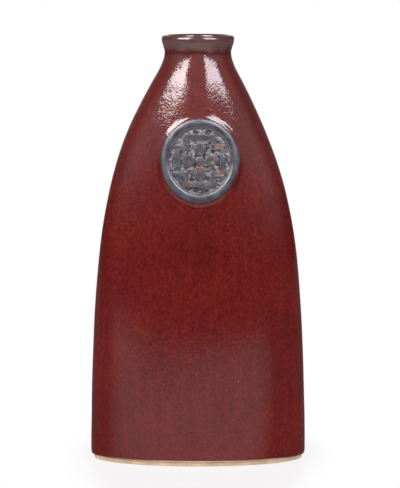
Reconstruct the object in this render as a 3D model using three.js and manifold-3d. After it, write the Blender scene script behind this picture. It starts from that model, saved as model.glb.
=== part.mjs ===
// A flattened stoneware bottle vase: an oval wall on a bare clay foot, a neck with a rolled
// lip, and a pressed medallion on the front.
// Millimetres, +Z up, the front towards -Y. The origin is the middle of the foot, on the table.
// Anyone with the npm packages three and manifold-3d can run it.

import * as THREE from "three";
import { mergeVertices } from "three/addons/utils/BufferGeometryUtils.js";
import Module from "manifold-3d";

// Driving dimensions of the bottle
const vaseHeight = 320;
const bodyWidth = 162.6;
const bodyDepth = 81.2;
const wall = 5;
const footCornerInset = 1.3; // how far the wall's lower corner draws in
const footCornerHeight = 5;

// Driving dimensions of the neck and its rolled lip
const neckLength = 30; // from the luted joint up to the crest of the lip
const neckWaistRadius = 24.9;
const neckWaistDrop = 12.5; // from the crest down to the narrowest place
const lipRadius = 27.3;
const lipRollOutside = 2.7; // across the roll, from its widest place to the crest
const lipRollInside = 3;
const lipRollHeight = 2.6;

// Driving dimensions of the base slab
const footThickness = 3; // the bare edge that shows under the glaze
const footInset = 2.3; // how far that edge stands in from the wall's face
const footBevel = 0.8;
const floorThickness = 4; // the pad inside the wall, above the foot
const footRingWidth = 9;
const footRecess = 1.2;

// Driving dimensions of the medallion
const medallionWidth = 57.8;
const medallionHeight = 62.6;
const medallionDrop = 91.4; // from the crest of the lip down to the medallion's centre
const medallionOffset = 1.4; // to the right of the bottle's middle
const groundHeight = 1.5; // the sunk panel, above the medallion's back
const rimHeight = 3.2;
const rimShare = 0.23; // of the radius, taken by the raised rim
const reliefHeight = 1.2; // the motif, above the panel
const barWidth = 3.8;
const motifHalfWidth = 18; // the stepped frame's outer faces
const motifHalfHeight = 19.4;
const petalLength = 4.6;
const petalWidth = 4.2;
const bossRadius = 3.2;

// Clearances
const seatGap = 0.3; // between pieces that follow each other's faces
const bite = 0.6; // how deep a raised bar is rooted in the panel

// How finely the round stretches are faceted
const sides = 48;
const petalSides = 14;

const neckJoint = vaseHeight - neckLength;
const waistHeight = vaseHeight - neckWaistDrop;
const lipWidest = vaseHeight - lipRollHeight;

// Fullness of the bottle, 1 at the foot and 0 at the neck's waist, against the share of the
// height between them.
const fullnessStations = [
  [0, 1],
  [0.089, 0.995],
  [0.236, 0.973],
  [0.384, 0.933],
  [0.532, 0.858],
  [0.647, 0.748],
  [0.732, 0.624],
  [0.811, 0.466],
  [0.877, 0.301],
  [0.926, 0.165],
  [0.967, 0.048],
  [1, 0],
];
const depthDrawIn = 0.75; // below 1, the faces stay full for longer than the edges

// A cubic through the stations, level at both ends.
function fullnessAt(share) {
  const s = fullnessStations;
  const last = s.length - 1;
  const t = Math.min(Math.max(share, 0), 1);
  let i = 0;
  while (i < last - 1 && t > s[i + 1][0]) i += 1;
  const slope = (k) =>
    k === 0 || k === last ? 0 : (s[k + 1][1] - s[k - 1][1]) / (s[k + 1][0] - s[k - 1][0]);
  const run = s[i + 1][0] - s[i][0];
  const q = (t - s[i][0]) / run;
  const rise = q * q * (3 - 2 * q);
  const leave = q * (1 - q) * (1 - q) * run * slope(i);
  const arrive = q * q * (q - 1) * run * slope(i + 1);
  return s[i][1] + (s[i + 1][1] - s[i][1]) * rise + leave + arrive;
}

const smooth = (t) => t * t * (3 - 2 * t);

// Half width and half depth of the outside at a height, without the foot's corner.
function outsideAt(z) {
  if (z >= waistHeight) {
    const t = Math.min((z - waistHeight) / (lipWidest - waistHeight), 1);
    const radius = neckWaistRadius + (lipRadius - neckWaistRadius) * smooth(t);
    return { halfWidth: radius, halfDepth: radius };
  }
  const fullness = fullnessAt((z - footThickness) / (waistHeight - footThickness));
  const atLeast = Math.max(fullness, 0);
  return {
    halfWidth: neckWaistRadius + (bodyWidth / 2 - neckWaistRadius) * atLeast,
    halfDepth: neckWaistRadius + (bodyDepth / 2 - neckWaistRadius) * atLeast ** depthDrawIn,
  };
}

// How far the wall's lower corner stands in from that outside: a quarter of an ellipse.
function cornerInsetAt(z) {
  const t = Math.min((z - footThickness) / footCornerHeight, 1);
  return footCornerInset * (1 - Math.sqrt(1 - (1 - t) ** 2));
}

// An oval ring of points, the outside at its height drawn in by an inset.
function ovalRing(z, inset, outline = outsideAt(z)) {
  return Array.from({ length: sides }, (_, k) => {
    const angle = (2 * Math.PI * k) / sides;
    return new THREE.Vector3(
      (outline.halfWidth - inset) * Math.cos(angle),
      (outline.halfDepth - inset) * Math.sin(angle),
      z,
    );
  });
}

// Skins a run of rings. A ring of one point is a pole; a looped run joins its last ring to its first.
function loft(rings, looped) {
  const points = [];
  const starts = rings.map((ring) => points.push(...ring) - ring.length);
  const index = [];
  const spans = looped ? rings.length : rings.length - 1;
  for (let i = 0; i < spans; i += 1) {
    const next = (i + 1) % rings.length;
    const count = Math.max(rings[i].length, rings[next].length);
    const at = (r, k) => starts[r] + (k % rings[r].length);
    for (let k = 0; k < count; k += 1) {
      if (rings[i].length > 1) index.push(at(i, k), at(i, k + 1), at(next, k + 1));
      if (rings[next].length > 1) index.push(at(i, k), at(next, k + 1), at(next, k));
    }
  }
  const geometry = new THREE.BufferGeometry().setFromPoints(points);
  geometry.setIndex(index);
  geometry.computeVertexNormals();
  return geometry;
}

// Evenly spaced values from one end to the other, both ends included.
const steps = (from, to, count) =>
  Array.from({ length: count + 1 }, (_, k) => from + ((to - from) * k) / count);

function bodyWall() {
  const cornerTop = footThickness + footCornerHeight;
  const corner = steps(footThickness, cornerTop, 3).slice(0, -1);
  const outer = [...corner, ...steps(cornerTop, neckJoint, 16)];
  const inner = steps(neckJoint, footThickness, 10);
  return loft(
    [
      ...outer.map((z) => ovalRing(z, z < cornerTop ? cornerInsetAt(z) : 0)),
      ...inner.map((z) => ovalRing(z, wall)),
    ],
    true,
  );
}

function neckCollar() {
  const outer = steps(neckJoint, lipWidest, 9).map((z) => ovalRing(z, 0));
  const crestRadius = lipRadius - lipRollOutside;
  const throatRadius = crestRadius - lipRollInside;
  const roll = steps(0, Math.PI, 8).slice(1);
  const lip = roll.map((angle) => {
    const across = angle < Math.PI / 2 ? lipRollOutside : lipRollInside;
    const radius = crestRadius + across * Math.cos(angle);
    const z = lipWidest + lipRollHeight * Math.sin(angle);
    return ovalRing(z, 0, { halfWidth: radius, halfDepth: radius });
  });
  const inner = steps(lipWidest, waistHeight, 3).slice(1).map((z) => {
    const t = (lipWidest - z) / (lipWidest - waistHeight);
    const radius = throatRadius + (neckWaistRadius - wall - throatRadius) * smooth(t);
    return ovalRing(z, 0, { halfWidth: radius, halfDepth: radius });
  });
  const throat = steps(waistHeight, neckJoint, 4).slice(1).map((z) => ovalRing(z, wall));
  return loft([...outer, ...lip, ...inner, ...throat], true);
}

function baseSlab() {
  const foot = outsideAt(footThickness);
  const ring = (z, inset) => ovalRing(z, inset, foot);
  const ringInside = footInset + footBevel + footRingWidth;
  return loft(
    [
      [new THREE.Vector3(0, 0, footRecess)],
      ring(footRecess, ringInside + footRecess),
      ring(0, ringInside),
      ring(0, footInset + footBevel),
      ring(footBevel, footInset),
      ring(footThickness, footInset),
      ring(footThickness, wall + seatGap),
      ring(footThickness + floorThickness, wall + seatGap),
      [new THREE.Vector3(0, 0, footThickness + floorThickness)],
    ],
    false,
  );
}

// A point of the front face, across and up from the medallion's centre, raised off the face
// along its normal.
function onFront(across, up, raised) {
  const x = medallionOffset + across;
  const z = vaseHeight - medallionDrop + up;
  const frontAt = (px, pz) => {
    const o = outsideAt(pz);
    return -o.halfDepth * Math.sqrt(Math.max(1 - (px / o.halfWidth) ** 2, 0));
  };
  const d = 0.5;
  const slopeX = (frontAt(x + d, z) - frontAt(x - d, z)) / (2 * d);
  const slopeZ = (frontAt(x, z + d) - frontAt(x, z - d)) / (2 * d);
  const normal = new THREE.Vector3(slopeX, -1, slopeZ).normalize();
  return new THREE.Vector3(x, frontAt(x, z), z).addScaledVector(normal, raised);
}

// Bends a flat geometry, drawn across, up and raised, onto the front face.
function bentOntoFront(flat) {
  const p = flat.getAttribute("position");
  for (let i = 0; i < p.count; i += 1) {
    const v = onFront(p.getX(i), p.getY(i), p.getZ(i));
    p.setXYZ(i, v.x, v.y, v.z);
  }
  return flat;
}

const wasm = await Module();
wasm.setup();

function toSolid(geometry) {
  const bare = new THREE.BufferGeometry();
  bare.setAttribute("position", geometry.getAttribute("position").clone());
  if (geometry.index) bare.setIndex(geometry.index);
  const merged = mergeVertices(bare, 1e-4);
  return new wasm.Manifold(
    new wasm.Mesh({
      numProp: 3,
      vertProperties: new Float32Array(merged.getAttribute("position").array),
      triVerts: new Uint32Array(merged.index.array),
    }),
  );
}

function toGeometry(solid) {
  const mesh = solid.getMesh();
  const geometry = new THREE.BufferGeometry();
  geometry.setAttribute("position", new THREE.BufferAttribute(mesh.vertProperties, 3));
  geometry.setIndex(new THREE.BufferAttribute(mesh.triVerts, 1));
  geometry.computeVertexNormals();
  return geometry;
}

// The clay pad: a back that follows the wall, a rounded raised rim and a sunk panel.
function medallionPad() {
  const ring = (share, raised) =>
    Array.from({ length: sides }, (_, k) => {
      const angle = (2 * Math.PI * k) / sides;
      return onFront(
        (share * medallionWidth * Math.cos(angle)) / 2,
        (share * medallionHeight * Math.sin(angle)) / 2,
        raised,
      );
    });
  const rimInside = 1 - rimShare;
  const crest = 1 - rimShare * 0.45;
  const back = steps(0, 1, 4).slice(1).map((share) => ring(share, seatGap));
  const front = [
    ring(1, seatGap + rimHeight * 0.4),
    ring(1 - rimShare * 0.14, seatGap + rimHeight * 0.85),
    ring(crest, seatGap + rimHeight),
    ring(rimInside + rimShare * 0.18, seatGap + rimHeight * 0.88),
    ring(rimInside, seatGap + groundHeight),
    ...steps(rimInside, 0, 4).slice(1, -1).map((share) => ring(share, seatGap + groundHeight)),
  ];
  return loft(
    [[onFront(0, 0, seatGap)], ...back, ...front, [onFront(0, 0, seatGap + groundHeight)]],
    false,
  );
}

const motifRoot = seatGap + groundHeight - bite;
const motifTop = seatGap + groundHeight + reliefHeight;

// A straight bar of the motif between two corners, in millimetres from the centre.
function bar(left, right, bottom, top) {
  const pieces = (length) => Math.max(1, Math.round(length / 6));
  const box = new THREE.BoxGeometry(
    right - left,
    top - bottom,
    motifTop - motifRoot,
    pieces(right - left),
    pieces(top - bottom),
    1,
  );
  box.translate((left + right) / 2, (bottom + top) / 2, (motifRoot + motifTop) / 2);
  return toSolid(bentOntoFront(box));
}

// A round or oval boss of the motif.
function boss(across, up, halfWidth, halfHeight) {
  const drum = new THREE.CylinderGeometry(1, 1, motifTop - motifRoot, petalSides);
  drum.rotateX(Math.PI / 2);
  drum.scale(halfWidth, halfHeight, 1);
  drum.translate(across, up, (motifRoot + motifTop) / 2);
  return toSolid(bentOntoFront(drum));
}

// A stepped frame round a four-petalled flower, the same in all four quarters.
function medallionMotif() {
  const stepAcross = motifHalfWidth - barWidth * 1.6;
  const stepUp = motifHalfHeight - barWidth * 2;
  const found = [boss(0, 0, bossRadius, bossRadius)];
  for (const side of [-1, 1]) {
    const span = (a, b) => (side > 0 ? [a, b] : [-b, -a]);
    found.push(bar(-stepAcross, stepAcross, ...span(motifHalfHeight - barWidth, motifHalfHeight)));
    found.push(bar(...span(motifHalfWidth - barWidth, motifHalfWidth), -stepUp, stepUp));
    found.push(boss(0, side * (bossRadius + 1 + petalLength), petalWidth, petalLength));
    found.push(boss(side * (bossRadius + 0.8 + petalLength), 0, petalLength, petalWidth));
    for (const across of [-1, 1]) {
      const wide = (a, b) => (across > 0 ? [a, b] : [-b, -a]);
      found.push(
        bar(...wide(stepAcross - barWidth, stepAcross), ...span(stepUp - barWidth, motifHalfHeight)),
      );
      found.push(
        bar(...wide(stepAcross - barWidth, motifHalfWidth), ...span(stepUp - barWidth, stepUp)),
      );
    }
  }
  return found;
}

function medallion() {
  return toGeometry(medallionMotif().reduce((made, piece) => made.add(piece), toSolid(medallionPad())));
}

const oxbloodGlaze = new THREE.MeshStandardMaterial({ color: 0x6e1f1f, roughness: 0.2, metalness: 0 });
const bareClay = new THREE.MeshStandardMaterial({ color: 0xe0c8a8, roughness: 0.85, metalness: 0 });
const slateGlaze = new THREE.MeshStandardMaterial({ color: 0x53535c, roughness: 0.4, metalness: 0 });

function named(name, geometry, material) {
  const mesh = new THREE.Mesh(geometry, material);
  mesh.name = name;
  return mesh;
}

const vase = new THREE.Group();
vase.add(
  named("body_wall", bodyWall(), oxbloodGlaze),
  named("neck_collar", neckCollar(), oxbloodGlaze),
  named("base_slab", baseSlab(), bareClay),
  named("medallion", medallion(), slateGlaze),
);

export default vase;
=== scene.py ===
import math

import bpy
import numpy as np
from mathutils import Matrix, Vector


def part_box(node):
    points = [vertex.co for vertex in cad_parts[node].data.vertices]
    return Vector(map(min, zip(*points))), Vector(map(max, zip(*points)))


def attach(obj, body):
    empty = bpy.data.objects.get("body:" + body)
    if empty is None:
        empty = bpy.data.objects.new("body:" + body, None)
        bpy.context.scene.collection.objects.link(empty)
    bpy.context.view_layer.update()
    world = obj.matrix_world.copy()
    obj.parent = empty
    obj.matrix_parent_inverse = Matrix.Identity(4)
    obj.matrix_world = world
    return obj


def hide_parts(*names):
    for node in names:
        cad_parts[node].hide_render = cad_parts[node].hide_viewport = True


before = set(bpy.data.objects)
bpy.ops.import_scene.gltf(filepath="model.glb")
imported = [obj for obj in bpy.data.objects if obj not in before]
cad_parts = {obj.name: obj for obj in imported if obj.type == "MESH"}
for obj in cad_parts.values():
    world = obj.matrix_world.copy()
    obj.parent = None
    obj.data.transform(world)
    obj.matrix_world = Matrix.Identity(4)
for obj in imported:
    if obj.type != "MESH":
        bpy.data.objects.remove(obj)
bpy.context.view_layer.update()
print("frame loaded")

mm = 0.001
wallLow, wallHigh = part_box("body_wall")
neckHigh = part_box("neck_collar")[1]
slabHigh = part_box("base_slab")[1]
sealLow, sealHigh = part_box("medallion")


# camera

photo = {
    "width": 400,  # pixels
    "height": 488,
    "focal": 2539.2,  # pixels, from the ovals of the foot and the lip
    "axisAt": 198.0,  # where the bottle's middle stands in the frame
}

viewpoint = {
    "distance": 1.9,
    "height": 0.397,
    "downward": 7.026,  # degrees
    "sensor": 36.0,
}


def addCamera():
    # the lens is the focal length in pixels over the photograph's long side, times the sensor
    data = bpy.data.cameras.new("camera")
    data.sensor_width = viewpoint["sensor"]
    data.lens = viewpoint["sensor"] * photo["focal"] / photo["height"]
    data.shift_x = (photo["width"] / 2 - photo["axisAt"]) / photo["height"]
    camera = bpy.data.objects.new("camera", data)
    camera.location = (0, -viewpoint["distance"], viewpoint["height"])
    camera.rotation_euler = (math.radians(90 - viewpoint["downward"]), 0, 0)
    bpy.context.scene.collection.objects.link(camera)
    bpy.context.scene.camera = camera


addCamera()
print("camera placed")


# node helpers

white = (1, 1, 1, 1)


def newTree(name):
    material = bpy.data.materials.new(name)
    material.use_nodes = True
    tree = material.node_tree
    tree.nodes.clear()
    return material, tree


def addNode(tree, kind, inputs=None, **settings):
    # inputs holds a plain value or another node's output socket for each named input
    made = tree.nodes.new(kind)
    for key, value in settings.items():
        setattr(made, key, value)
    for key, value in (inputs or {}).items():
        socket = made.inputs[key]
        if isinstance(value, bpy.types.NodeSocket):
            tree.links.new(value, socket)
        else:
            socket.default_value = value
    return made


def maths(tree, operation, a, b=0.0, clamp=False):
    return addNode(tree, "ShaderNodeMath", {0: a, 1: b}, operation=operation, use_clamp=clamp).outputs[0]


def times(tree, *factors):
    product = factors[0]
    for factor in factors[1:]:
        product = maths(tree, "MULTIPLY", product, factor)
    return product


def weighted(tree, *pairs):
    # the sum of each value times its weight
    parts = [maths(tree, "MULTIPLY", value, weight) for value, weight in pairs]
    total = parts[0]
    for part in parts[1:]:
        total = maths(tree, "ADD", total, part)
    return total


def spread(tree, value, ends, to=(0.0, 1.0)):
    # the value taken from between its ends to between the new ones, level at both
    made = addNode(tree, "ShaderNodeMapRange", {
        "Value": value, "From Min": ends[0], "From Max": ends[1], "To Min": to[0], "To Max": to[1],
    }, interpolation_type="SMOOTHSTEP")
    return made.outputs["Result"]


def blendColour(tree, share, a, b):
    # a where the share is 0, b where it is 1
    return addNode(tree, "ShaderNodeMix", {0: share, 6: a, 7: b}, data_type="RGBA").outputs[2]


def mixShaders(tree, share, a, b):
    return addNode(tree, "ShaderNodeMixShader", {0: share, 1: a.outputs[0], 2: b.outputs[0]})


def placed(tree, scale=(1, 1, 1)):
    where = addNode(tree, "ShaderNodeTexCoord").outputs["Object"]
    return addNode(tree, "ShaderNodeMapping", {"Vector": where, "Scale": scale}).outputs["Vector"]


def noise(tree, scale, detail, roughness=0.5, stretch=(1, 1, 1), distortion=0.0):
    made = addNode(tree, "ShaderNodeTexNoise", {
        "Vector": placed(tree, stretch), "Scale": scale, "Detail": detail, "Roughness": roughness,
        "Distortion": distortion,
    })
    return made.outputs["Fac"]


def axesOf(tree, vector):
    return addNode(tree, "ShaderNodeSeparateXYZ", {0: vector}).outputs


def vertexValue(tree, name):
    return addNode(tree, "ShaderNodeAttribute", attribute_name=name).outputs["Fac"]


def bumpFrom(tree, height, strength, distance):
    made = addNode(tree, "ShaderNodeBump", {"Strength": strength, "Distance": distance, "Height": height})
    return made.outputs[0]


def finishWith(tree, shader, output="ShaderNodeOutputMaterial"):
    end = addNode(tree, output)
    tree.links.new(shader.outputs[0], end.inputs["Surface"])


# table, lamps and room

room = {
    "low": 0.05,  # what the glaze mirrors below eye level
    "high": 0.85,  # and above the lamps' lower edges
    "rise": (-0.035, 0.22),  # from low to high, as upward shares of the direction
    "behind": 0.2,  # share of that which is left towards the back
    "turnBack": (-0.3, 0.4),
    "back": 0.85,  # the white straight behind, seen along the outline
    "straightBack": (0.86, 0.99),
    "fill": 0.62,  # soft light from all round
}

table = {
    "side": 2.2,
    "front": 3.0,
    "back": 3.0,
    "colour": (0.86, 0.86, 0.86, 1),
    "roughness": 0.28,
    "shine": 0.35,
    "shadowSide": 0.095,  # the camera sees plain white outside an oval of this size
    "shadowFront": 0.19,
    "shadowFade": (0.75, 1.15),  # shares of the oval's radius
    "shadowWhite": 0.70,  # share of plain white inside it
    "mirroredFront": (0.55, 0.62),  # the glaze mirrors a white table out to here
    "mirroredLeft": (50, 82),  # and this far round to each side, in degrees
    "mirroredRight": (38, 60),
    "mirroredWhite": 0.77,
    "mirroredDim": 0.15,  # share of white that is left beside it
}

lighting = {
    "away": 1.6,
    "aimHeight": 0.285,
    # Turns to the right and rises are in degrees, sizes in metres, power in watts. The corners are those
    # of the lit cloth as the glaze mirrors it, each a turn and a rise.
    "lamps": (
        {
            "name": "softboxLeft", "turn": -47, "rise": 33, "wide": 1.50, "tall": 1.04,
            "power": 15, "glow": 20.0, "tint": (1.0, 0.975, 0.965),
            "corners": ((-17, 13.7), (-28, 17), (-34, 22), (-22, 72), (-80, 72), (-75, 24.5), (-62, 21.7),
                        (-42, 17)),
        },
        {
            "name": "softboxRight", "turn": 40, "rise": 32, "wide": 1.02, "tall": 1.06,
            "power": 9, "glow": 16.5, "tint": (0.93, 0.92, 1.0),
            "corners": ((18.5, 14.4), (53, 18.3), (64, 22), (66, 72), (22, 72), (26, 22)),
        },
    ),
}


def flatPiece(name, corners):
    mesh = bpy.data.meshes.new(name)
    mesh.from_pydata(corners, [], [range(len(corners))])
    made = bpy.data.objects.new(name, mesh)
    bpy.context.scene.collection.objects.link(made)
    return made


def mirroredTable(tree):
    # a white patch in front of the vase that fades at its far edge and to both sides
    axes = axesOf(tree, placed(tree))
    forward = maths(tree, "MULTIPLY", axes["Y"], -1.0)
    turned = maths(tree, "ARCTAN2", axes["X"], forward)
    fade = (1.0, table["mirroredDim"])
    right = spread(tree, turned, [math.radians(a) for a in table["mirroredRight"]], fade)
    turnedLeft = maths(tree, "MULTIPLY", turned, -1.0)
    left = spread(tree, turnedLeft, [math.radians(a) for a in table["mirroredLeft"]], fade)
    near = spread(tree, forward, table["mirroredFront"], (1.0, 0.0))
    patch = maths(tree, "MAXIMUM", times(tree, right, left, near, table["mirroredWhite"]), room["low"])
    return addNode(tree, "ShaderNodeEmission", {"Color": white, "Strength": patch})


def addTable():
    # the camera sees the lit table near the vase and plain white further out
    side, front, back = table["side"], -table["front"], table["back"]
    floor = flatPiece("floor", [(-side, front, 0), (side, front, 0), (side, back, 0), (-side, back, 0)])
    material, tree = newTree("paleFloor")
    lit = addNode(tree, "ShaderNodeBsdfPrincipled", {
        "Base Color": table["colour"], "Roughness": table["roughness"], "Specular IOR Level": table["shine"],
    })
    plain = addNode(tree, "ShaderNodeEmission", {"Color": white, "Strength": 1.0})
    rays = addNode(tree, "ShaderNodeLightPath").outputs
    oval = placed(tree, (1 / table["shadowSide"], 1 / table["shadowFront"], 1))
    away = addNode(tree, "ShaderNodeVectorMath", {0: oval}, operation="LENGTH").outputs["Value"]
    share = spread(tree, away, table["shadowFade"], (table["shadowWhite"], 1.0))
    seen = mixShaders(tree, times(tree, rays["Is Camera Ray"], share), lit, plain)
    finishWith(tree, mixShaders(tree, rays["Is Glossy Ray"], seen, mirroredTable(tree)))
    floor.data.materials.append(material)


def lampPoint(turn, rise):
    # the place at a lamp's distance from the shoulder, by its turn and its rise
    turn, rise = math.radians(turn), math.radians(rise)
    away = Vector((math.sin(turn) * math.cos(rise), -math.cos(turn) * math.cos(rise), math.sin(rise)))
    return away * lighting["away"] + Vector((0, 0, lighting["aimHeight"]))


def addLamp(lamp):
    # a softbox that lights the vase, and a card in its place that only glossy rays see
    data = bpy.data.lights.new(lamp["name"], "AREA")
    data.shape = "RECTANGLE"
    data.size, data.size_y = lamp["wide"], lamp["tall"]
    data.energy = lamp["power"]
    data.color = lamp["tint"]
    made = bpy.data.objects.new(lamp["name"], data)
    made.location = lampPoint(lamp["turn"], lamp["rise"])
    made.rotation_euler = (math.radians(90 - lamp["rise"]), 0, math.radians(lamp["turn"]))
    made.visible_glossy = False
    bpy.context.scene.collection.objects.link(made)
    card = flatPiece(lamp["name"] + "Card", [lampPoint(*corner) for corner in lamp["corners"]])
    card.visible_camera = card.visible_diffuse = card.visible_shadow = False
    card.visible_transmission = False
    material, tree = newTree(lamp["name"] + "Glow")
    glow = addNode(tree, "ShaderNodeEmission", {"Color": (*lamp["tint"], 1), "Strength": lamp["glow"]})
    finishWith(tree, glow)
    material.cycles.emission_sampling = "NONE"
    card.data.materials.append(material)


def addRoom():
    # camera rays see white; glossy rays see a room that is dark below, pale above and white straight behind
    world = bpy.data.worlds.new("studio")
    world.use_nodes = True
    tree = world.node_tree
    tree.nodes.clear()
    rays = addNode(tree, "ShaderNodeLightPath").outputs
    heading = axesOf(tree, addNode(tree, "ShaderNodeTexCoord").outputs["Generated"])
    above = spread(tree, heading["Z"], room["rise"], (room["low"], room["high"]))
    above = times(tree, above, spread(tree, heading["Y"], room["turnBack"], (1.0, room["behind"])))
    straightBack = spread(tree, heading["Y"], room["straightBack"], (0.0, room["back"]))
    mirrored = maths(tree, "MAXIMUM", straightBack, above)
    seen = maths(tree, "MAXIMUM", rays["Is Camera Ray"], rays["Is Transmission Ray"])
    other = maths(tree, "SUBTRACT", 1.0, maths(tree, "MAXIMUM", seen, rays["Is Glossy Ray"]))
    strength = weighted(tree, (seen, 1.0), (rays["Is Glossy Ray"], mirrored), (other, room["fill"]))
    shader = addNode(tree, "ShaderNodeBackground", {"Color": white, "Strength": strength})
    finishWith(tree, shader, "ShaderNodeOutputWorld")
    bpy.context.scene.world = world


addTable()
for lamp in lighting["lamps"]:
    addLamp(lamp)
addRoom()
bpy.context.scene.view_settings.view_transform = "Standard"
print("stage lit")


# surfaces worked out as whole grids

def smooth(t):
    # 0 below 0, 1 above 1, and an even S between
    t = np.clip(t, 0, 1)
    return t * t * (3 - 2 * t)


def bell(distance, width):
    # 1 in the middle, falling away evenly on both sides
    return np.exp(-((distance / width) ** 2))


def sines(waves, angle, z=0):
    # the sum of weight sin(times round angle + radians per metre z + start)
    return sum(weight * np.sin(around * angle + up * z + start) for weight, around, up, start in waves)


def gridObject(name, grid, loopRows=False, poles=None, values=None):
    # rows of points round the piece, skinned with quads; a pole closes each end, or the rows loop
    rows, columns = grid.shape[:2]
    points = grid.reshape(-1, 3)
    here = np.arange(rows * columns).reshape(rows, columns)
    after = np.roll(here, -1, axis=1)
    low, high = (here, np.roll(here, -1, axis=0)) if loopRows else (here[:-1], here[1:])
    lowNext, highNext = (after, np.roll(after, -1, axis=0)) if loopRows else (after[:-1], after[1:])
    quads = np.stack([low, lowNext, highNext, high], axis=-1).reshape(-1, 4)
    corners, sizes = [quads.ravel()], [np.full(len(quads), 4)]
    if poles is not None:
        first, last = len(points), len(points) + 1
        points = np.concatenate([points, poles])
        start = np.stack([np.full(columns, first), after[0], here[0]], axis=-1)
        end = np.stack([np.full(columns, last), here[-1], after[-1]], axis=-1)
        corners += [start.ravel(), end.ravel()]
        sizes += [np.full(columns, 3), np.full(columns, 3)]
    corners, sizes = np.concatenate(corners), np.concatenate(sizes)
    mesh = bpy.data.meshes.new(name)
    mesh.vertices.add(len(points))
    mesh.vertices.foreach_set("co", points.astype(np.float32).ravel())
    mesh.loops.add(len(corners))
    mesh.loops.foreach_set("vertex_index", corners.astype(np.int32))
    mesh.polygons.add(len(sizes))
    mesh.polygons.foreach_set("loop_start", (np.cumsum(sizes) - sizes).astype(np.int32))
    mesh.update(calc_edges=True)
    mesh.shade_smooth()
    for key, value in (values or {}).items():
        whole = value.ravel()
        if poles is not None:
            whole = np.append(whole, [value[0].mean(), value[-1].mean()])
        mesh.attributes.new(key, "FLOAT", "POINT").data.foreach_set("value", whole.astype(np.float32))
    made = bpy.data.objects.new(name, mesh)
    bpy.context.scene.collection.objects.link(made)
    print(name, "has", int((sizes - 2).sum()), "triangles")
    return made


def gridNormals(grid):
    # the cross product of the steps to the next points round and up
    around = np.roll(grid, -1, axis=1) - np.roll(grid, 1, axis=1)
    upward = np.roll(grid, -1, axis=0) - np.roll(grid, 1, axis=0)
    normal = np.cross(around, upward)
    return normal / np.maximum(np.linalg.norm(normal, axis=-1, keepdims=True), 1e-12)


def latticeNoise(across, up, cell, seed, size=64):
    # random heights at the corners of square cells, blended between them, from -1 to 1
    heights = np.random.default_rng(seed).random((size, size))
    x, y = across / cell, up / cell
    i, j = np.floor(x).astype(int), np.floor(y).astype(int)
    fx, fy = smooth(x - i), smooth(y - j)

    def corner(right, above):
        return heights[(i + right) % size, (j + above) % size]

    low = corner(0, 0) * (1 - fx) + corner(1, 0) * fx
    high = corner(0, 1) * (1 - fx) + corner(1, 1) * fx
    return 2 * (low * (1 - fy) + high * fy) - 1


# the glazed bottle: wall, neck and lip in one skin

medallion = {
    "centreX": 1.4 * mm,
    "centreZ": (sealLow.z + sealHigh.z) / 2,
    "halfWidth": 28.9 * mm,
    "halfHeight": 31.3 * mm,
    "seat": 0.3 * mm,
    "mound": 0.95 * mm,  # the wall's clay and glaze rise against the pad's edge
    "moundReach": 0.10,  # as a share of the pad's radius
    "fineReach": 1.25,  # the bottle's rows lie closer this far round it
}

bottle = {
    "halfWidth": (wallHigh.x - wallLow.x) / 2,
    "halfDepth": (wallHigh.y - wallLow.y) / 2,
    "footTop": wallLow.z,
    "height": neckHigh.z,
    "wall": 5 * mm,
    "waistRadius": 24.9 * mm,
    "waistDrop": 12.5 * mm,
    "lipRadius": 27.3 * mm,
    "lipOutside": 2.7 * mm,
    "lipInside": 3.0 * mm,
    "lipRise": 2.6 * mm,
    "cornerInset": 1.3 * mm,
    "cornerHeight": 5 * mm,
    # fullness, 1 at the foot and 0 at the neck's waist, against the share of the height between
    "stations": ((0, 1), (0.089, 0.995), (0.236, 0.973), (0.384, 0.933), (0.532, 0.858), (0.647, 0.748),
                 (0.732, 0.624), (0.811, 0.466), (0.877, 0.301), (0.926, 0.165), (0.967, 0.048), (1, 0)),
    "depthDrawIn": 0.75,  # below 1, the faces stay full for longer than the edges
    "sway": -1.1 * mm,  # the left side is a little fuller at the shoulder
    "swayAt": 238 * mm,
    "swayReach": 45 * mm,
    # unevenness of the hand-pressed wall, of the neck's waist and of the glaze's lower edge: how high, and
    # sines of a weight, times round, radians per metre up and a start
    "wave": 0.09 * mm,
    "waveSines": ((1, 3, 38, 0.6), (0.7, 5, -61, 2.1), (0.6, 1, 95, 0)),
    "calmFoot": (12 * mm, 30 * mm),  # no waves over the first stretch, fading in over the second
    "calmLip": (12 * mm, 20 * mm),
    "ripple": 0.10 * mm,
    "rippleSines": ((1, 6, 0, 0.8), (0.8, 11, 0, 2.9), (0.5, 17, 0, 1.3)),
    "rippleAt": 309.5 * mm,
    "rippleReach": 4 * mm,
    "glazeLineSides": 3.3 * mm,  # bare clay shows below this height
    "glazeLineFront": 4.5 * mm,
    "glazeLineSines": ((0.12 * mm, 7, 0, 1), (0.08 * mm, 13, 0, 0)),
    "glazeStep": 0.35 * mm,
    "rollShare": 0.45,
    "rollReach": 0.9 * mm,
    "bareFade": 0.5 * mm,
    "columns": 256,
    "crowding": 0.5,  # the columns lie closer on the front
    "outsideRows": (22, 80, 112, 48),  # corner, body, round the medallion, shoulder and neck
    "lipRows": 28,
    "funnelRows": 8,
    "insideRows": 55,
}


def fullness(share):
    # a cubic through the stations, level at both ends
    stations = np.array(bottle["stations"], float)
    x, y = stations[:, 0], stations[:, 1]
    slope = np.zeros_like(x)
    slope[1:-1] = (y[2:] - y[:-2]) / (x[2:] - x[:-2])
    share = np.clip(share, 0, 1)
    i = np.clip(np.searchsorted(x, share, side="right") - 1, 0, len(x) - 2)
    run = x[i + 1] - x[i]
    q = (share - x[i]) / run
    rise = q * q * (3 - 2 * q)
    bend = q * (1 - q) ** 2 * run * slope[i] + q * q * (q - 1) * run * slope[i + 1]
    return np.maximum(y[i] + (y[i + 1] - y[i]) * rise + bend, 0)


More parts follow.
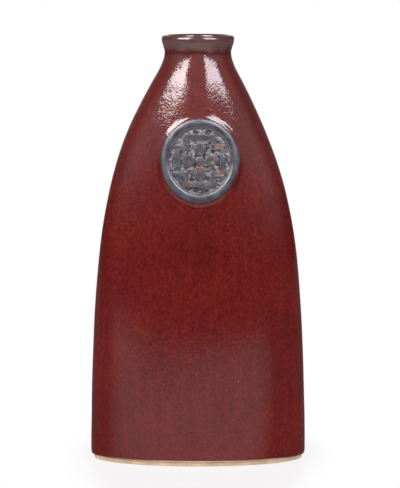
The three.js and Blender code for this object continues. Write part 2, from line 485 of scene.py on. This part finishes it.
def outline(z):
    # half width and half depth at a height: fullness below the waist, an eased flare above it
    waistRadius = bottle["waistRadius"]
    waist, widest = bottle["height"] - bottle["waistDrop"], bottle["height"] - bottle["lipRise"]
    full = fullness((z - bottle["footTop"]) / (waist - bottle["footTop"]))
    flare = (bottle["lipRadius"] - waistRadius) * smooth((z - waist) / (widest - waist))
    radius = waistRadius + np.where(z > waist, flare, 0)
    width = radius + (bottle["halfWidth"] - waistRadius) * full
    depth = radius + (bottle["halfDepth"] - waistRadius) * full ** bottle["depthDrawIn"]
    return width, depth


def sway(z):
    # the bottle's middle leans left in a bell curve round the shoulder
    return bottle["sway"] * bell(z - bottle["swayAt"], bottle["swayReach"])


def facePoint(x, z):
    # the front face: the near side of the oval at that height
    width, depth = outline(z)
    return -depth * np.sqrt(np.maximum(1 - ((x - sway(z)) / width) ** 2, 0))


def faceNormal(x, z, step=0.5 * mm):
    # square to the face, from its slope over a short step each way
    slopeX = (facePoint(x + step, z) - facePoint(x - step, z)) / (2 * step)
    slopeZ = (facePoint(x, z + step) - facePoint(x, z - step)) / (2 * step)
    normal = np.stack([slopeX, -np.ones_like(slopeX), slopeZ], axis=-1)
    return normal / np.linalg.norm(normal, axis=-1, keepdims=True)


def shellRows():
    # height, inset and lip radius, or 0, of each row: up the outside, over the lip and down the inside
    footTop, top = bottle["footTop"], bottle["height"]
    widest, waist = top - bottle["lipRise"], top - bottle["waistDrop"]
    centre, fine = medallion["centreZ"], medallion["halfHeight"] * medallion["fineReach"]
    ends = (footTop, footTop + bottle["cornerHeight"], centre - fine, centre + fine, widest)
    outer = np.concatenate([
        np.linspace(low, high, count, endpoint=False)
        for low, high, count in zip(ends, ends[1:], bottle["outsideRows"])
    ])
    # the lower corner is a quarter of an ellipse
    corner = np.clip((outer - footTop) / bottle["cornerHeight"], 0, 1)
    inset = bottle["cornerInset"] * (1 - np.sqrt(1 - (1 - corner) ** 2))
    outside = np.stack([outer, inset, 0 * outer], axis=1)
    # the lip is half an ellipse outside its crest and half another inside
    turn = np.linspace(0, math.pi, bottle["lipRows"])
    crest = bottle["lipRadius"] - bottle["lipOutside"]
    across = np.where(turn < math.pi / 2, bottle["lipOutside"], bottle["lipInside"])
    lipHeight, lipRadius = widest + bottle["lipRise"] * np.sin(turn), crest + across * np.cos(turn)
    lip = np.stack([lipHeight, 0 * turn, lipRadius], axis=1)
    throat, bore = crest - bottle["lipInside"], bottle["waistRadius"] - bottle["wall"]
    inner = np.linspace(widest, waist, bottle["funnelRows"] + 1)[1:]
    funnelRadius = throat + (bore - throat) * smooth((widest - inner) / (widest - waist))
    funnel = np.stack([inner, 0 * inner, funnelRadius], axis=1)
    down = np.linspace(waist, footTop, bottle["insideRows"] + 1)[1:]
    inside = np.stack([down, 0 * down + bottle["wall"], 0 * down], axis=1)
    return np.concatenate([outside, lip, funnel, inside]), len(outer)


def handWaves(angle, z):
    # slow sines round and up the wall, calm at the foot and the lip
    flatFoot, fullFoot = bottle["calmFoot"]
    flatLip, fullLip = bottle["calmLip"]
    calm = smooth((z - flatFoot) / fullFoot) * smooth((bottle["height"] - flatLip - z) / fullLip)
    return bottle["wave"] * sines(bottle["waveSines"], angle, z) * calm


def waistRipple(angle, z):
    # quicker sines round the neck, in a bell curve about its waist
    near = bell(z - bottle["rippleAt"], bottle["rippleReach"])
    return bottle["ripple"] * sines(bottle["rippleSines"], angle) * near


def medallionMound(x, y, z):
    # a steep bell curve, cubed, outwards from the medallion's edge, on the front only
    across = (x - medallion["centreX"]) / medallion["halfWidth"]
    up = (z - medallion["centreZ"]) / medallion["halfHeight"]
    beyond = np.maximum(np.hypot(across, up) - 1, 0)
    return medallion["mound"] * bell(beyond, medallion["moundReach"]) ** 3 * (y < 0)


def glazeLine(angle):
    # higher over the faces than at the narrow sides, and slightly uneven
    rise = (bottle["glazeLineFront"] - bottle["glazeLineSides"]) * np.sin(angle) ** 2
    return bottle["glazeLineSides"] + rise + sines(bottle["glazeLineSines"], angle)


def glazeEdge(angle, z):
    # how bare the clay is, and the step: bare clay stands back and the glaze above it ends in a soft roll
    above = z - glazeLine(angle)
    bare = 1 - smooth(above / bottle["bareFade"] + 0.5)
    roll = bell(above - bottle["rollReach"], bottle["rollReach"])
    return bare, bottle["glazeStep"] * (bottle["rollShare"] * roll - bare)


def buildShell():
    # ovals x = width cos, y = depth sin stacked up the rows, then the outside raised along its normals
    rows, outsideCount = shellRows()
    z, inset, radius = rows[:, 0:1], rows[:, 1:2], rows[:, 2:3]
    turn = np.linspace(0, 2 * math.pi, bottle["columns"], endpoint=False)[None, :]
    angle = turn - bottle["crowding"] * np.cos(turn)
    width, depth = outline(z)
    width = np.where(radius > 0, radius, width - inset)
    depth = np.where(radius > 0, radius, depth - inset)
    x, y = width * np.cos(angle) + sway(z), depth * np.sin(angle)
    grid = np.stack([x, y, z + 0 * x], axis=-1)
    outside = (np.arange(len(rows)) < outsideCount)[:, None]
    bare, step = glazeEdge(angle, z)
    raised = handWaves(angle, z) + waistRipple(angle, z) + medallionMound(x, y, z) + step
    grid += gridNormals(grid) * (raised * outside)[..., None]
    return gridObject("vase_shell", grid, loopRows=True, values={"bare": bare * outside})


shell = buildShell()


# the bare clay foot

foot = {
    "inset": 2.3 * mm,
    "bevel": 0.8 * mm,
    "ringWidth": 9 * mm,
    "ringSlope": 1.6 * mm,
    "recess": 1.2 * mm,
    "floorTop": slabHigh.z,
    "floorEdge": (0.5 * mm, 0.6 * mm),  # its small bevel, down and in
    "seatGap": 0.3 * mm,
    "middle": 0.92,  # the last ring before each pole, as a share of the half depth
    "flatRings": 8,  # on the recess and on the floor
    "slopeRings": 6,
    "slopeFrom": 0.15,  # where the first of them lies, as a share of the slope
    "ringRings": 5,
    "bevelRings": 7,
    "sideRings": 4,
    "columns": 192,
}


def buildFoot():
    # oval rings from the middle of the underside, round the edge, to the middle of the floor
    footTop, floorTop, recess = bottle["footTop"], foot["floorTop"], foot["recess"]
    edge, bevel, slope = foot["inset"], foot["bevel"], foot["ringSlope"]
    ringInside = edge + bevel + foot["ringWidth"]
    seat = bottle["wall"] + foot["seatGap"]
    middle = bottle["halfDepth"] * foot["middle"]
    underside = [(recess, inset) for inset in np.linspace(middle, ringInside + slope, foot["flatRings"])]
    inner = [
        (recess * (1 - smooth(t)), ringInside + slope * (1 - t))
        for t in np.linspace(foot["slopeFrom"], 1, foot["slopeRings"])
    ]
    ring = [(0, inset) for inset in np.linspace(ringInside, edge + bevel, foot["ringRings"])[1:-1]]
    rounded = [
        (bevel * (1 - math.sin(turn)), edge + bevel * (1 - math.cos(turn)))
        for turn in np.linspace(math.pi / 2, 0, foot["bevelRings"])
    ]
    side = [(z, edge) for z in np.linspace(bevel, footTop, foot["sideRings"])[1:]]
    down, within = foot["floorEdge"]
    top = [(footTop, seat), (floorTop - down, seat), (floorTop, seat + within)]
    inside = [(floorTop, inset) for inset in np.linspace(seat, middle, foot["flatRings"])[1:]]
    rows = np.array(underside + inner + ring + rounded + side + top + inside, float)
    z, inset = rows[:, 0:1], rows[:, 1:2]
    angle = np.linspace(0, 2 * math.pi, foot["columns"], endpoint=False)[None, :]
    x = (bottle["halfWidth"] - inset) * np.cos(angle)
    y = (bottle["halfDepth"] - inset) * np.sin(angle)
    grid = np.stack([x, y, z + 0 * x], axis=-1)
    return gridObject("foot_slab", grid, poles=np.array([(0, 0, recess), (0, 0, floorTop)]))


slab = buildFoot()


# the medallion: a rim, a pitted panel and a stepped frame round a four-petalled flower

seal = {
    "rim": 3.3,  # heights and lengths here are in millimetres
    "ground": 1.4,
    "relief": 1.4,
    "edge": 0.5,  # width of a stroke's soft shoulder
    "bar": 3.8,
    "frameWidth": 18.0,
    "frameHeight": 19.4,
    "stepBars": (1.6, 2),  # the step at the frame's corners, across and up, in widths of its bars
    "petalLong": 4.6,
    "petalShort": 4.2,
    "petalGap": 0.9,
    "boss": 3.2,
    # rim profile: share of the radius, share of the rim's height
    "profile": ((0, 0), (0.762, 0), (0.780, 0.44), (0.797, 0.37), (0.825, 0.75), (0.86, 0.95), (0.895, 1.0),
                (0.93, 0.94), (0.962, 0.72), (0.985, 0.34), (1.0, -0.55)),
    "panelEdge": (0.735, 0.04),  # where the panel ends and how softly, as shares of the radius
    "rimEdge": (0.74, 0.06),
    # unevenness: height, cell and seed of each layer
    "wander": ((0.42, 3.4, 3), (0.42, 3.4, 4)),
    "pits": ((0.7, 1.5, 5), (0.3, 0.8, 6)),
    "pitDepth": 0.34,
    "grain": ((0.16, 2.3, 7), (0.06, 0.8, 8)),
    "grainOnRim": 0.35,
    "swell": (0.18, 5.0, 9),
    "thinnest": 0.05,  # the least that the front stands off the seat
    "rings": 150,
    "crowding": 1.12,  # above 1, the rings lie closer at the rim
    "backRings": 6,
    "columns": 420,
}


def boxDistance(across, up, left, right, bottom, top):
    # below zero inside an upright rectangle, above it outside
    x = np.abs(across - (left + right) / 2) - (right - left) / 2
    y = np.abs(up - (bottom + top) / 2) - (top - bottom) / 2
    return np.hypot(np.maximum(x, 0), np.maximum(y, 0)) + np.minimum(np.maximum(x, y), 0)


def ovalDistance(across, up, x, y, halfWidth, halfHeight):
    # share of the oval's radius beyond its edge, times its shorter half
    return (np.hypot((across - x) / halfWidth, (up - y) / halfHeight) - 1) * min(halfWidth, halfHeight)


def motifDistance(across, up):
    # the nearest of the frame's bars, the petals and the boss; the quarters mirror each other
    u, v = np.abs(across), np.abs(up)
    bar, wide, high = seal["bar"], seal["frameWidth"], seal["frameHeight"]
    long, short, boss = seal["petalLong"], seal["petalShort"], seal["boss"]
    stepAcross, stepUp = wide - bar * seal["stepBars"][0], high - bar * seal["stepBars"][1]
    petalAt = boss + seal["petalGap"] + long
    return np.minimum.reduce([
        boxDistance(u, v, -stepAcross, stepAcross, high - bar, high),
        boxDistance(u, v, wide - bar, wide, -stepUp, stepUp),
        boxDistance(u, v, stepAcross - bar, stepAcross, stepUp - bar, high),
        boxDistance(u, v, stepAcross - bar, wide, stepUp - bar, stepUp),
        ovalDistance(u, v, 0, petalAt, short, long),
        ovalDistance(u, v, petalAt, 0, long, short),
        ovalDistance(u, v, 0, 0, boss, boss),
    ])


def layer(across, up, settings):
    # lattice noise by its height, cell and seed
    height, cell, seed = settings
    return latticeNoise(across, up, cell, seed) * height


def sealSurface(share, across, up):
    # rim profile, plus the motif with soft shoulders, plus pits in the ground and grain all over
    profile = np.array(seal["profile"], float)
    height = seal["ground"] + (seal["rim"] - seal["ground"]) * np.interp(share, profile[:, 0], profile[:, 1])
    wanderX, wanderY = (layer(across, up, settings) for settings in seal["wander"])
    distance = motifDistance(across + wanderX, up + wanderY)
    edgeAt, edgeWidth = seal["panelEdge"]
    inPanel = 1 - smooth((share - edgeAt) / edgeWidth)
    raised = (1 - smooth(distance / seal["edge"] + 0.5)) * inPanel
    pits = sum(layer(across, up, settings) for settings in seal["pits"]) * inPanel * (1 - raised)
    grain = sum(layer(across, up, settings) for settings in seal["grain"])
    height = height + seal["relief"] * raised * (1 + layer(across, up, seal["swell"]))
    height = height + seal["pitDepth"] * pits
    height = height + grain * (seal["grainOnRim"] + (1 - seal["grainOnRim"]) * inPanel)
    return height, raised, pits


def buildMedallion():
    # polar rings bent onto the face: a plain back out from its middle, then the front inwards
    angle = np.linspace(0, 2 * math.pi, seal["columns"], endpoint=False)[None, :]
    backShare = np.linspace(0, 1, seal["backRings"] + 1)[1:, None]
    frontShare = 1 - np.linspace(0, 1, seal["rings"] + 1)[:-1, None] ** seal["crowding"]
    share = np.concatenate([backShare, frontShare])
    across = share * medallion["halfWidth"] / mm * np.cos(angle)
    up = share * medallion["halfHeight"] / mm * np.sin(angle)
    height, raised, pits = sealSurface(share + 0 * angle, across, up)
    isFront = (np.arange(len(share)) >= len(backShare))[:, None]
    height = np.where(isFront, np.maximum(height, seal["thinnest"]), 0) * mm + medallion["seat"]
    x, z = medallion["centreX"] + across * mm, medallion["centreZ"] + up * mm
    grid = np.stack([x, facePoint(x, z), z], axis=-1) + faceNormal(x, z) * height[..., None]
    middleX, middleZ = np.array([medallion["centreX"]]), np.array([medallion["centreZ"]])
    middle = np.array([middleX[0], facePoint(middleX, middleZ)[0], middleZ[0]])
    outward = faceNormal(middleX, middleZ)[0]
    poles = np.stack([middle + outward * medallion["seat"], middle + outward * height[-1].mean()])
    edgeAt, edgeWidth = seal["rimEdge"]
    onRim = smooth((share + 0 * angle - edgeAt) / edgeWidth)
    values = {"raised": raised * isFront, "pits": pits * isFront, "rim": onRim * isFront}
    return gridObject("medallion_relief", grid, poles=poles, values=values)


pad = buildMedallion()
print("pieces modelled")


# finishes: a pattern holds scale, detail, roughness, stretch and distortion; a bump, strength and depth

bareClay = {
    "pale": (0.66, 0.50, 0.34, 1),
    "dark": (0.50, 0.36, 0.24, 1),
    "blotches": (90, 4, 0.6),
    "blotchFade": (0.3, 0.72),
    "grit": (1400, 3, 0.6),
    "bump": (0.35, 0.2 * mm),
    "roughness": 0.88,
}


def clayColour(tree):
    # pale buff with slightly darker blotches
    share = spread(tree, noise(tree, *bareClay["blotches"]), bareClay["blotchFade"])
    return blendColour(tree, share, bareClay["dark"], bareClay["pale"])


def makeBareClay():
    # matt clay with a fine grit
    material, tree = newTree("bareClay")
    grit = bumpFrom(tree, noise(tree, *bareClay["grit"]), *bareClay["bump"])
    skin = addNode(tree, "ShaderNodeBsdfPrincipled", {
        "Base Color": clayColour(tree), "Roughness": bareClay["roughness"], "Normal": grit,
    })
    finishWith(tree, skin)
    return material


redGlaze = {
    "deep": (0.078, 0.0058, 0.0058, 1),
    "red": (0.115, 0.0092, 0.0080, 1),
    "bright": (0.165, 0.0150, 0.0092, 1),
    "deepToRed": (0.40, 0.51),  # where the tones below pass from one colour to the next
    "redToBright": (0.51, 0.60),
    # patterns of the tone and how much each adds: long runs, clouds, mottling, fine runs and speckle
    "runs": (1.0, 4, 0.62, (260, 260, 22)),
    "runsWeight": 0.15,
    "clouds": (17, 3, 0.55, (1, 1, 1), 0.6),
    "cloudsWeight": 0.22,
    "mottle": (150, 4, 0.65),
    "mottleWeight": 0.11,
    "fineRuns": (1.0, 3, 0.6, (900, 900, 110)),
    "fineRunsWeight": 0.10,
    "speckle": (620, 2, 0.7, (1, 1, 0.7)),
    "speckleWeight": 0.42,
    # painted shade darkens and greys the neck, and under the lip the glaze thins and a painted reflection of
    # the floor greys it: from and to these drops below the lip's crest
    "neck": (0.070, 0.0190, 0.0185, 1),
    "neckFrom": (17 * mm, 4 * mm),
    "neckMost": 0.6,
    # glaze that thins under the lip, greyed further by a painted reflection of the floor
    "thinGlazeAndReflection": (0.105, 0.064, 0.058, 1),
    "thinGlazeAndReflectionFrom": (4.5 * mm, 1 * mm),
    "thinGlazeAndReflectionMost": 0.85,
    "lipTopFrom": (3.5 * mm, 1.5 * mm),
    "lipTopMost": 0.7,
    "waver": 14 * mm,
    "waverPattern": (1.0, 3, 0.5, (70, 70, 25)),
    # pinholes: dented by the bump, and paler in colour partly as painted glints
    "pinholeAndGlint": (0.45, 0.30, 0.26, 1),
    "pinholeCells": 62.0,
    "pinholeFade": (0.012, 0.030),
    "pinholeChance": 0.17,
    "pinholeGlintShare": 0.6,
    # orange peel, a broader swell and the pinholes' dents, by weight
    "peel": (820, 1.0, 0.4),
    "swell": (210, 1.0, 0.4),
    "swellWeight": 0.9,
    "dentWeight": -1.5,
    "bump": (0.34, 0.22 * mm),
    "roughness": 0.045,
    "mottleRoughness": 0.05,
    "bareRoughness": 0.85,
}


def glazeTone(tree, mottle):
    # the patterns added by weight
    others = ("runs", "clouds", "fineRuns", "speckle")
    pairs = [(noise(tree, *redGlaze[name]), redGlaze[name + "Weight"]) for name in others]
    return weighted(tree, (mottle, redGlaze["mottleWeight"]), *pairs)


def nearCrest(tree, height, name):
    # 0 below the first drop under the lip's crest, the most above the second
    ends = [bottle["height"] - drop for drop in redGlaze[name + "From"]]
    return spread(tree, height, ends, (0.0, redGlaze[name + "Most"]))


def pinholes(tree):
    # the cores of a few cells of a random pattern
    cells = addNode(tree, "ShaderNodeTexVoronoi", {
        "Vector": placed(tree), "Scale": redGlaze["pinholeCells"], "Randomness": 1.0,
    }).outputs
    core = spread(tree, cells["Distance"], redGlaze["pinholeFade"], (1.0, 0.0))
    chosen = addNode(tree, "ShaderNodeSeparateColor", {0: cells["Color"]}).outputs[0]
    return times(tree, core, maths(tree, "GREATER_THAN", chosen, 1 - redGlaze["pinholeChance"]))


def makeRedGlaze():
    # copper red, greyer on the neck with painted shade and under the lip with thinner glaze and a painted
    # reflection, over a fine orange peel
    material, tree = newTree("redGlaze")
    mottle = noise(tree, *redGlaze["mottle"])
    tone = glazeTone(tree, mottle)
    colour = blendColour(tree, spread(tree, tone, redGlaze["deepToRed"]), redGlaze["deep"], redGlaze["red"])
    colour = blendColour(tree, spread(tree, tone, redGlaze["redToBright"]), colour, redGlaze["bright"])
    height = axesOf(tree, placed(tree))["Z"]
    wavering = weighted(tree, (height, 1.0), (noise(tree, *redGlaze["waverPattern"]), redGlaze["waver"]))
    # painted shade: the neck turns darker and greyer towards the lip
    colour = blendColour(tree, nearCrest(tree, wavering, "neck"), colour, redGlaze["neck"])
    # thinner glaze under the lip plus a painted reflection of the floor greys it; the lip's top is left out
    thinGlazeAndReflection, lipTop = nearCrest(tree, wavering, "thinGlazeAndReflection"), nearCrest(tree, height, "lipTop")
    colour = blendColour(tree, maths(tree, "SUBTRACT", thinGlazeAndReflection, lipTop, clamp=True), colour, redGlaze["thinGlazeAndReflection"])
    pinholeAndGlint = pinholes(tree)
    # pinholes paler than the glaze, partly as painted glints
    colour = blendColour(tree, times(tree, pinholeAndGlint, redGlaze["pinholeGlintShare"]), colour, redGlaze["pinholeAndGlint"])
    bare = vertexValue(tree, "bare")
    colour = blendColour(tree, bare, colour, clayColour(tree))
    glossy = maths(tree, "ADD", redGlaze["roughness"], times(tree, mottle, redGlaze["mottleRoughness"]))
    rough = addNode(tree, "ShaderNodeMix", {0: bare, 2: glossy, 3: redGlaze["bareRoughness"]}).outputs[0]
    peel, swell = noise(tree, *redGlaze["peel"]), noise(tree, *redGlaze["swell"])
    dents = (pinholeAndGlint, redGlaze["dentWeight"])
    relief = weighted(tree, (peel, 1.0), (swell, redGlaze["swellWeight"]), dents)
    skin = addNode(tree, "ShaderNodeBsdfPrincipled", {
        "Base Color": colour, "Roughness": rough, "IOR": 1.5,
        "Normal": bumpFrom(tree, relief, *redGlaze["bump"]),
    })
    finishWith(tree, skin)
    return material


slateGlaze = {
    "panel": (0.200, 0.180, 0.185, 1),
    # painted shade for the pits and the foot of each stroke, and the colour of the dark specks
    "paintedShadeAndSpeck": (0.015, 0.013, 0.016, 1),
    "stroke": (0.054, 0.052, 0.063, 1),
    "rim": (0.060, 0.060, 0.076, 1),
    "rimDark": (0.030, 0.027, 0.034, 1),
    "rust": (0.175, 0.085, 0.050, 1),
    # painted highlight along the strokes' edges
    "edgeHighlight": (0.300, 0.280, 0.270, 1),
    "clouds": (120, 3, 0.6),
    "specks": (900, 2, 0.6),
    "speckFade": (0.62, 0.75),
    "speckMost": 0.25,
    "patches": (105, 3, 0.55, (1, 1, 1), 0.4),
    "rustFade": (0.53, 0.63),
    "rustShare": 0.75,
    "pitFade": (-0.35, 0.35),
    "rimFade": (0.35, 0.65),
    # bands along a stroke's shoulder: fading in and out between these heights, and the most
    "strokeFootShade": ((0.01, 0.12), (0.25, 0.55), 0.85),
    "edgeHighlightBand": ((0.5, 0.75), (0.85, 0.99), 0.6),
    "roughFrom": (0.3, 0.7),
    "roughness": (0.30, 0.46),
    "cloudWeight": 0.6,
    "bump": (0.3, 0.3 * mm),
}


def strokeBand(tree, raised, name):
    # 1 between two heights of a stroke's shoulder, times the most
    fadeIn, fadeOut, most = slateGlaze[name]
    return times(tree, spread(tree, raised, fadeIn), spread(tree, raised, fadeOut, (most, 0.0)))


def makeSlateGlaze():
    # blue-grey satin glaze with painted shade in the pits and at the foot of each stroke and a painted
    # highlight along its edge, breaking to rust on some of the raised work
    material, tree = newTree("slateGlaze")
    raised, pits, rim = (vertexValue(tree, name) for name in ("raised", "pits", "rim"))
    cloud, speck = noise(tree, *slateGlaze["clouds"]), noise(tree, *slateGlaze["specks"])
    # painted shade: the ground darkens towards the bottoms of its pits
    ground = spread(tree, pits, slateGlaze["pitFade"])
    colour = blendColour(tree, ground, slateGlaze["paintedShadeAndSpeck"], slateGlaze["panel"])
    colour = blendColour(tree, raised, colour, slateGlaze["stroke"])
    patch = spread(tree, noise(tree, *slateGlaze["patches"]), slateGlaze["rustFade"])
    rust = times(tree, patch, raised, slateGlaze["rustShare"])
    colour = blendColour(tree, rust, colour, slateGlaze["rust"])
    rimTone = spread(tree, cloud, slateGlaze["rimFade"])
    rimColour = blendColour(tree, rimTone, slateGlaze["rimDark"], slateGlaze["rim"])
    colour = blendColour(tree, rim, colour, rimColour)
    # painted shade darkens the foot of each stroke and a painted highlight pales its edge
    colour = blendColour(tree, strokeBand(tree, raised, "strokeFootShade"), colour, slateGlaze["paintedShadeAndSpeck"])
    # painted highlight: a pale band near the top of each stroke's shoulder
    colour = blendColour(tree, strokeBand(tree, raised, "edgeHighlightBand"), colour, slateGlaze["edgeHighlight"])
    specks = spread(tree, speck, slateGlaze["speckFade"], (0.0, slateGlaze["speckMost"]))
    colour = blendColour(tree, specks, colour, slateGlaze["paintedShadeAndSpeck"])
    relief = weighted(tree, (speck, 1.0), (cloud, slateGlaze["cloudWeight"]))
    rough = spread(tree, cloud, slateGlaze["roughFrom"], slateGlaze["roughness"])
    skin = addNode(tree, "ShaderNodeBsdfPrincipled", {
        "Base Color": colour, "Roughness": rough, "IOR": 1.55,
        "Normal": bumpFrom(tree, relief, *slateGlaze["bump"]),
    })
    finishWith(tree, skin)
    return material


shell.data.materials.append(makeRedGlaze())
slab.data.materials.append(makeBareClay())
pad.data.materials.append(makeSlateGlaze())
print("finishes made")


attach(shell, "root")
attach(slab, "root")
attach(pad, "root")
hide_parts("body_wall", "neck_collar")
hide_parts("base_slab")
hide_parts("medallion")
